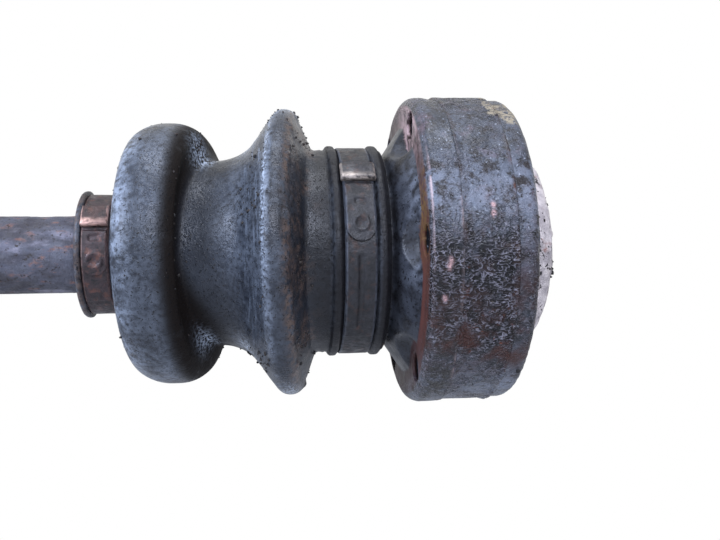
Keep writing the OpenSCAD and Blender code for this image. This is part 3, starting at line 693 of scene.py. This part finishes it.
def makeCover(c):
    # a turned profile, pressed flat round each bolt and let in along the normals by dents and creases
    low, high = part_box("boot_cover")
    rimR = high[2] / mm
    path = roundedPath([(low[0] / mm, c["neckR"], 0), (c["neckX"], c["neckR"], c["bend"]),
                        (c["face"], c["coneFootR"], c["bend"]), (c["face"], rimR, c["corner"]),
                        (c["rimEnd"], rimR, 0)], c["step"])
    grid = turnedGrid(path, c["columns"])
    d = boltPlace(grid)[0]
    # round pockets press the cone back to the flange where a bolt's head sits
    x = grid[..., 0] / mm
    height = np.maximum(c["face"] - x, 0)
    pocket = 1 - eased(*c["pocketR"], d)
    onCone = x > c["neckX"] - 2
    grid[..., 0] += np.where(onCone, height * pocket, 0) * mm
    x = grid[..., 0] / mm
    flange = eased(0.9, 0.97, -gridNormals(grid)[..., 0]) * (1 - eased(0.3, 1.0, c["face"] - x))
    grid[..., 0] += c["sink"] * mm * pocket * flange
    marks = drumMarks(grid)
    x = grid[..., 0] / mm
    rim = eased(-34, -31, x)
    fall = c["dents"] * (0.5 + 0.5 * lumps(grid, 7, 31, 4)) + 0.4 * rim * marks["crust"] * (1 - creased(grid))
    fall += 0.5 * rim * eased(0, 0.6, lumps(grid, 16, 35, 1))
    fall += 0.8 * bell(x, *c["hollow"]) * around(angleOf(grid), 95, 24)
    grid -= gridNormals(grid) * (fall * mm)[..., None]
    n = gridNormals(grid)
    r = np.hypot(grid[..., 1], grid[..., 2]) / mm
    # the band of the rim's bend that faces the lamps, where the painted highlight goes
    bends = eased(0.55, 0.64, -n[..., 0]) * (1 - eased(0.68, 0.78, -n[..., 0])) * eased(50, 52, r)
    a = angleOf(grid)
    for mark in marks:
        marks[mark] = marks[mark] * eased(47, 50, r)
    marks["flat"] = np.clip(flange * (0.3 + 0.9 * around(a, 195, 34)), 0, 1)
    marks["gold"] = flange * around(a, 168, 16)
    marks["bare"] = flange * around(a, 118, 22)
    x = grid[..., 0] / mm
    marks["cone"] = 1 - eased(46, 48.5, r)
    # painted sheen on the cone, strongest on its near side
    marks["painted_cone_sheen"] = eased(36, 42, r) * (around(a, 160, 26) + 0.8 * around(a, 192, 10))
    marks["olive"] = between(x, (-34, -32), (-25, -22)) * around(a, 234, 17)
    # a painted highlight at the seam's edge, and along the bend on the near side
    seam = around(a, 172, 7) + 0.6 * around(a, 196, 10) + around(a, 226, 8)
    seam = bell(x, c["rimEnd"], 0.5) * seam
    marks["wear_and_highlight"] = np.clip(bends * (around(a, 160, 9) + 0.4 * around(a, 178, 10) + 0.08) + 0.6 * seam, 0, 1)
    grid, faces = drill(grid, flange > 0.5)
    piece = sheetPiece("cover_sheet", grid, faces, coverSheet, marks, c["sheet"])
    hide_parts("boot_cover")
    print("cover made:", len(faces), "faces")


makeCover(coverSet)

# Grease cap: thin drawn sheet with a rim over the race and a dome over the bar's end
capSet = {"step": 0.6, "columns": 360, "sheet": 1.2, "corner": 3.0, "domeFootR": 38.5, "footBend": 2.0,
          "shoulder": (10.0, 33.0), "shoulderBend": 7.0, "crownR": 10.0, "crownBend": 24.0,
          "tar": 80, "tarMm": (0.5, 2.0)}


def makeCap(c):
    # a turned profile that closes at the crown, moved along its normals: rough on the dome, inward elsewhere
    low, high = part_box("grease_cap")
    rimR, top = high[2] / mm, high[0] / mm
    path = roundedPath([(low[0] / mm, rimR, 0), (0, rimR, c["corner"]), (0, c["domeFootR"], c["footBend"]),
                        (*c["shoulder"], c["shoulderBend"]), (top, c["crownR"], c["crownBend"]),
                        (top, 0.25, 0)], c["step"])
    grid = turnedGrid(path, c["columns"])
    n = gridNormals(grid)
    x = grid[..., 0] / mm
    r = np.hypot(grid[..., 1], grid[..., 2]) / mm
    dome = (1 - eased(37, 39, r)) * eased(0.4, 1.5, x)
    crown = eased(top - 5.5, top - 1, x)
    rough = 0.45 * lumps(grid, 5, 41, 4) + 0.5 * eased(0.35, 0.75, lumps(grid, 3.2, 44, 2))
    inward = -0.12 * (1 + lumps(grid, 4, 47, 4))  # rim and crown only lose height
    inward = inward - 0.35 * drumMarks(grid)["crust"] * (1 - creased(grid)) * eased(50, 53, r)
    rise = np.where(dome > 0.5, rough * (1 - crown) + (inward - 0.35) * crown, inward)
    grid += n * (rise * mm)[..., None]
    marks = {"bare": dome, **drumMarks(grid)}
    marks["crust"] = 0.45 * marks["crust"]
    # more painted sheen on the cap's near side
    marks["film_and_sheen"] = np.clip(marks["film_and_sheen"] + 0.35 * around(angleOf(grid), 183, 14), 0, 1)
    marks["rust"] = np.clip(marks["rust"] + 0.8 * around(angleOf(grid), 208, 16), 0, 1)
    grid, faces = drill(grid, (dome < 0.01) & (x > -1.5))
    piece = sheetPiece("cap_sheet", grid, faces, capSheet, marks, c["sheet"])
    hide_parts("grease_cap")
    tarWeight = dome * (1 - crown) * eased(0, 0.5, lumps(grid, 9, 49, 2)) + 0.004
    tar, ballFaces, _ = crumbs(grid, gridNormals(grid), tarWeight, c["tar"], c["tarMm"], 9)
    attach(addPiece("cap_tar", tar, crumbFaces(ballFaces, tar), [grit]), "joint_housing")
    print("cap made:", len(faces), "faces")


makeCap(capSet)

# Race: a skin of oily crust over the band that shows between cover and cap
skinSet = {"step": 0.32, "columns": 840, "raceR": 54.0, "sunk": 0.4, "most": 0.85, "seamW": 1.2}


def makeRaceSkin(s):
    # a turned band just over the race, raised along its normals by creases, lumps and filled seams
    left = coverSet["rimEnd"]
    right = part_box("grease_cap")[0][0] / mm
    path = roundedPath([(left - 0.6, s["raceR"] - s["sunk"], 0), (left + 0.1, s["raceR"], 0.5),
                        (right - 0.1, s["raceR"], 0.5), (right + 0.6, s["raceR"] - s["sunk"], 0)], s["step"])
    grid = turnedGrid(path, s["columns"])
    x = grid[..., 0] / mm
    inside = eased(left - 0.3, left + 0.1, x) * (1 - eased(right - 0.1, right + 0.3, x))
    edge = bell(x, left, s["seamW"]) + bell(x, right, s["seamW"])
    bridge = 0.6 * edge * eased(-0.25, 0.15, lumps(grid, 12, 65, 2))  # film that fills the seams in places
    marks = drumMarks(grid)
    lump = (0.5 * marks["mud"] + 0.4 * around(angleOf(grid), 98, 20)) * (1 + lumps(grid, 3, 59, 3))
    rise = 0.1 * (1 + lumps(grid, 3, 61, 3)) + 0.55 * np.maximum(marks["crust"], 0.15) * creased(grid)
    rise = rise + lump + bridge
    grid += gridNormals(grid) * (np.minimum(rise, s["most"]) * inside * mm)[..., None]
    marks["rust"] = np.clip(marks["rust"] + 0.4 * edge, 0, 1)
    piece = addPiece("race_crust", grid, gridFaces(*grid.shape[:2]), [raceRust], marks)
    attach(piece, "joint_housing")
    print("race skin made:", grid.shape[0] * grid.shape[1], "points")


makeRaceSkin(skinSet)

# Bar: thin plates of scale over the plain length outside the boot
barSet = {"step": 0.8, "columns": 144, "barR": 13.25, "under": -146.0, "collar": -338.0, "scale": 0.28}


def makeBarScale(b):
    # a turned tube on the bar, raised along its normals by flakes and lowered by pits
    path = roundedPath([(b["collar"], b["barR"] - 0.1, 0), (b["collar"] + 1, b["barR"] + 0.02, 0.2),
                        (b["under"] - 1, b["barR"] + 0.02, 0.2), (b["under"], b["barR"] - 0.1, 0)], b["step"])
    grid = turnedGrid(path, b["columns"])
    flakes = eased(-0.1, 0.12, lumps(grid * (0.5, 1, 1), 6, 71, 4))  # plates with broken edges
    pits = eased(0.35, 0.6, lumps(grid, 2.4, 75, 3))
    x = grid[..., 0] / mm
    inside = eased(b["collar"], b["collar"] + 2, x) * (1 - eased(b["under"] - 2.5, b["under"] - 1.5, x))
    rise = inside * (b["scale"] * flakes * (1 - 0.7 * pits) + 0.04 * (1 + lumps(grid, 1.6, 77, 2)))
    grid += gridNormals(grid) * (rise * mm)[..., None]
    piece = addPiece("bar_scale", grid, gridFaces(*grid.shape[:2]), [barRust])
    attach(piece, "axle")
    print("bar scale made:", grid.shape[0] * grid.shape[1], "points")


makeBarScale(barSet)

# Clamps: strap steel wound round a cuff, a second layer, a round-ended tongue and a buckle on top
clampSet = {
    "large": {"x": -54.06, "r": 36.17, "w": 10.4, "t": 0.8, "at": 141.0, "span": 11.0, "tail": 92.0,
              "tongue": 30.0, "buckleH": 2.2, "buckleW": 11.6, "body": "joint_housing", "slot": True},
    "small": {"x": -140.06, "r": 20.02, "w": 8.8, "t": 0.8, "at": 150.0, "span": 18.0, "tail": 80.0,
              "tongue": 40.0, "buckleH": 2.6, "buckleW": 8.8, "body": "axle", "slot": False},
}


def wound(x, w, low, high, start, end, across=25, stepMm=0.5, roundEnd=False, shapeTop=None, seed=0):
    # a flat section carried along an arc: (x + u, rho cos a, rho sin a), its top edges eased down
    closed = end - start >= 360
    count = int(math.radians(end - start) * high / stepMm) + 2
    a = np.radians(np.linspace(start, end, count, endpoint=not closed))[:, None]
    u = np.concatenate([np.linspace(-1, 1, across), np.linspace(1, -1, 5)])[None, :] * w / 2
    isTop = np.concatenate([np.ones(across), np.zeros(5)])[None, :]
    if roundEnd:  # the last half width narrows as a half circle
        left = np.radians(end) * high - a * high
        u = u * np.sqrt(np.clip(1 - (np.clip(1 - left / (w / 2), 0, 0.995)) ** 2, 0.01, 1))
    edge = np.clip(np.abs(u) / (w / 2), 0, 1)
    fall = 0.35 * (high - low) * np.clip((edge - 0.9) / 0.1, 0, 1) ** 2
    rho = np.where(isTop > 0, high - fall, low) + 0 * a
    flat = np.stack([x + u + 0 * a, rho * np.cos(a), rho * np.sin(a)], -1) * mm
    dent = 0.1 * lumps(flat, 5, 81 + seed, 3) * isTop
    top = shapeTop(u + 0 * a, np.degrees(a) + 0 * u) * isTop if shapeTop else 0
    rho = rho + dent + top
    grid = np.stack([x + u + 0 * a, rho * np.cos(a), rho * np.sin(a)], -1) * mm
    rows, columns = grid.shape[:2]
    faces = (gridFaces(rows + closed, columns) % (rows * columns))[:, ::-1]
    ring = np.arange(columns)[None, :]
    caps = [] if closed else [ring, ring[:, ::-1] + (rows - 1) * columns]
    wear_and_highlight = np.broadcast_to(eased(0.86, 0.97, edge) * isTop, grid.shape[:2]).copy()
    return grid, faces, caps, wear_and_highlight


def joinWound(parts):
    points, quads, caps, wear_and_highlight, first = [], [], [], [], 0
    for grid, faces, ends, wear in parts:
        points.append(grid.reshape(-1, 3))
        quads.append(faces + first)
        caps += [e + first for e in ends]
        wear_and_highlight.append(wear.ravel())
        first += grid.shape[0] * grid.shape[1]
    return np.concatenate(points), [np.concatenate(quads), *caps], np.concatenate(wear_and_highlight)


def makeClamp(name, c, strapMaterial, buckleMaterial):
    top = c["r"] + c["t"]
    outer = top + c["t"]
    slotEnds = (c["at"] + c["tongue"] + 14, c["at"] + c["tail"] - 6)
    tongueMid = c["at"] + c["tongue"]

    def slotTop(u, a):  # a long slot pressed along the second layer
        lane = 1 - eased(0.7, 1.0, np.abs(u))
        return -0.55 * lane * between(a, (slotEnds[0], slotEnds[0] + 1.5), (slotEnds[1] - 1.5, slotEnds[1]))

    def tongueTop(u, a):  # a raised ring and a short window on the tongue
        along = np.radians(a - tongueMid + 1) * outer
        ring = np.hypot(u, along)
        window = (1 - eased(1.5, 1.9, np.abs(u))) * (1 - eased(0.8, 1.2, np.abs(along + 7.5)))
        return 0.4 * bell(ring, 2.3, 0.5) - 0.4 * bell(ring, 0, 1.2) - 0.5 * window

    def buckleTop(u, a):  # the lower edge is folded up into a lip
        share = (a - c["at"]) / c["span"]
        return 0.5 * eased(0.2, 0.42, share) - 0.25 * eased(-0.2, -0.5, share) - 0.12 * (u / 3) ** 2

    strap = [wound(c["x"], c["w"], c["r"], top, c["at"], c["at"] + 360, seed=1),
             wound(c["x"], c["w"] - 0.3, top - 0.3, outer, c["at"] - c["span"], c["at"] + c["tail"], seed=2,
                   shapeTop=slotTop if c["slot"] else None),
             wound(c["x"], c["w"] - 0.6, outer - 0.3, outer + c["t"], c["at"] + 0.7 * c["span"],
                   tongueMid + math.degrees(c["w"] / 2 / outer), roundEnd=True, shapeTop=tongueTop, seed=3)]
    points, faces, wear_and_highlight = joinWound(strap)
    piece = addPiece(name + "_strap", points, faces, [strapMaterial], {"wear_and_highlight": wear_and_highlight})
    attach(piece, c["body"])
    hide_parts(name + "_clamp_strap")
    half = c["span"] / 2
    buckle = [wound(c["x"], c["buckleW"], outer + 0.04, outer + c["buckleH"], c["at"] - half, c["at"] + half,
                    stepMm=0.3, shapeTop=buckleTop, seed=4)]
    points, faces, wear_and_highlight = joinWound(buckle)
    # the folded lip is painted bright, as rubbed metal and as a painted highlight strongest on its left part
    lip = eased(c["at"] + 0.2 * half, c["at"] + 0.8 * half, angleOf(points))
    lip *= 0.3 + bell(points[:, 0] / mm, c["x"] - 0.3 * c["buckleW"], 0.2 * c["buckleW"])
    piece = addPiece(name + "_buckle", points, faces, [buckleMaterial],
                     {"wear_and_highlight": np.clip(wear_and_highlight + lip, 0, 1)})
    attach(piece, c["body"])
    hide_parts(name + "_clamp_buckle")
    print(name, "clamp made:", len(points), "points on its buckle")


makeClamp("large", clampSet["large"], bandSteel, buckleSteel)
makeClamp("small", clampSet["small"], rustyBand, copperBuckle)

# Floor, light and camera
stageSet = {"floorZ": -0.16, "floorR": 3.0, "near": 0.08, "far": 0.15,
            "endNear": 0.26, "endFar": 0.42, "rings": 24, "columns": 64}


def makeFloor(s):
    # a flat disc: rings of growing radius, drawn as (x + r cos a, r sin a, z)
    middle = (cadBox[0][0] + cadBox[1][0]) / 2
    r = np.concatenate([[0], np.geomspace(0.02, s["floorR"], s["rings"] - 1)])[:, None]
    a = np.linspace(0, 2 * math.pi, s["columns"], endpoint=False)[None, :]
    grid = np.stack([middle + r * np.cos(a), r * np.sin(a), s["floorZ"] + 0 * (r + a)], -1)
    material = bpy.data.materials.new("pale_floor")
    material.use_nodes = True
    tree = material.node_tree
    tree.nodes.clear()
    # dull pale paint close to the part, plain white to the camera further away
    paint = addNode(tree, "ShaderNodeBsdfDiffuse", {"Color": "#dcdcdc"})
    white = addNode(tree, "ShaderNodeEmission", {"Color": "#ffffff", "Strength": 1.0})
    place = addNode(tree, "ShaderNodeTexCoord").outputs["Object"]
    xyz = addNode(tree, "ShaderNodeSeparateXYZ", {0: place})
    reach = addNode(tree, "ShaderNodeMath", {0: xyz.outputs[1]}, operation="ABSOLUTE").outputs[0]
    fade = addNode(tree, "ShaderNodeMapRange", {"Value": reach, "From Min": s["near"], "From Max": s["far"]},
                   interpolation_type="SMOOTHSTEP").outputs[0]
    side = addNode(tree, "ShaderNodeMath", {0: xyz.outputs[0], 1: -middle}, operation="ADD").outputs[0]
    side = addNode(tree, "ShaderNodeMath", {0: side}, operation="ABSOLUTE").outputs[0]
    fadeX = addNode(tree, "ShaderNodeMapRange", {"Value": side, "From Min": s["endNear"],
                                                 "From Max": s["endFar"]},
                    interpolation_type="SMOOTHSTEP").outputs[0]
    fade = addNode(tree, "ShaderNodeMath", {0: fade, 1: fadeX}, operation="MAXIMUM").outputs[0]
    camera = addNode(tree, "ShaderNodeLightPath").outputs["Is Camera Ray"]
    seen = share(tree, fade, camera)
    mix = addNode(tree, "ShaderNodeMixShader", {0: seen, 1: paint.outputs[0], 2: white.outputs[0]})
    addNode(tree, "ShaderNodeOutputMaterial", {"Surface": mix.outputs[0]})
    mesh = bpy.data.meshes.new("floor")
    faces = gridFaces(s["rings"], s["columns"])
    mesh.from_pydata(grid.reshape(-1, 3).tolist(), [], faces.tolist())
    mesh.materials.append(material)
    floor = bpy.data.objects.new("floor", mesh)
    bpy.context.collection.objects.link(floor)


makeFloor(stageSet)


def makeWorld():
    # white to the camera and in reflections, a plainer level of soft light on what is matt
    world = bpy.data.worlds.new("white_room")
    bpy.context.scene.world = world
    world.use_nodes = True
    tree = world.node_tree
    tree.nodes.clear()
    path = addNode(tree, "ShaderNodeLightPath")
    seen = path.outputs["Is Camera Ray"]
    for ray in ("Is Glossy Ray", "Is Transmission Ray"):
        either = {0: seen, 1: path.outputs[ray]}
        seen = addNode(tree, "ShaderNodeMath", either, operation="MAXIMUM").outputs[0]
    soft = addNode(tree, "ShaderNodeBackground", {"Color": "#ecedf0", "Strength": 0.36})
    white = addNode(tree, "ShaderNodeBackground", {"Color": "#ffffff", "Strength": 1.0})
    mix = addNode(tree, "ShaderNodeMixShader", {0: seen, 1: soft.outputs[0], 2: white.outputs[0]})
    addNode(tree, "ShaderNodeOutputWorld", {"Surface": mix.outputs[0]})


makeWorld()


def addLamp(name, place, aim, size, power, colour):
    lamp = bpy.data.lights.new(name, "AREA")
    lamp.shape = "RECTANGLE"
    lamp.size, lamp.size_y = size
    lamp.energy = power
    lamp.color = toLinear(colour)[:3]
    holder = bpy.data.objects.new(name, lamp)
    holder.location = place
    holder.rotation_euler = (Vector(aim) - Vector(place)).to_track_quat("-Z", "Y").to_euler()
    bpy.context.collection.objects.link(holder)


addLamp("sky", (-0.05, -0.15, 0.7), (-0.07, 0, 0), (0.4, 0.3), 3.8, "#eef3ff")
addLamp("window", (-0.7, -0.42, 0.28), (-0.09, 0, 0), (0.3, 0.3), 7.5, "#d3e0fc")
addLamp("front", (0.0, -0.75, 0.36), (-0.05, 0, 0), (0.3, 0.3), 6.5, "#dfe7fd")

cameraSet = {"place": (-0.0858, -0.2995, -0.0188), "yaw": 6.74, "pitch": 2.24, "roll": -1.22, "lens": 41.5}


def makeCamera(c):
    yaw, pitch, roll = (math.radians(c[k]) for k in ("yaw", "pitch", "roll"))
    ahead = Vector((math.sin(yaw) * math.cos(pitch), math.cos(yaw) * math.cos(pitch), math.sin(pitch)))
    right = ahead.cross(Vector((0, 0, 1))).normalized()
    turn = Matrix((right, right.cross(ahead), -ahead)).transposed() @ Matrix.Rotation(roll, 3, "Z")
    camera = bpy.data.cameras.new("camera")
    camera.lens, camera.sensor_width = c["lens"], 36.0
    camera.clip_start = 0.01
    holder = bpy.data.objects.new("camera", camera)
    holder.matrix_world = Matrix.Translation(c["place"]) @ turn.to_4x4()
    bpy.context.collection.objects.link(holder)
    bpy.context.scene.camera = holder


makeCamera(cameraSet)
bpy.context.scene.view_settings.view_transform = "Standard"
print("stage, light and camera set")
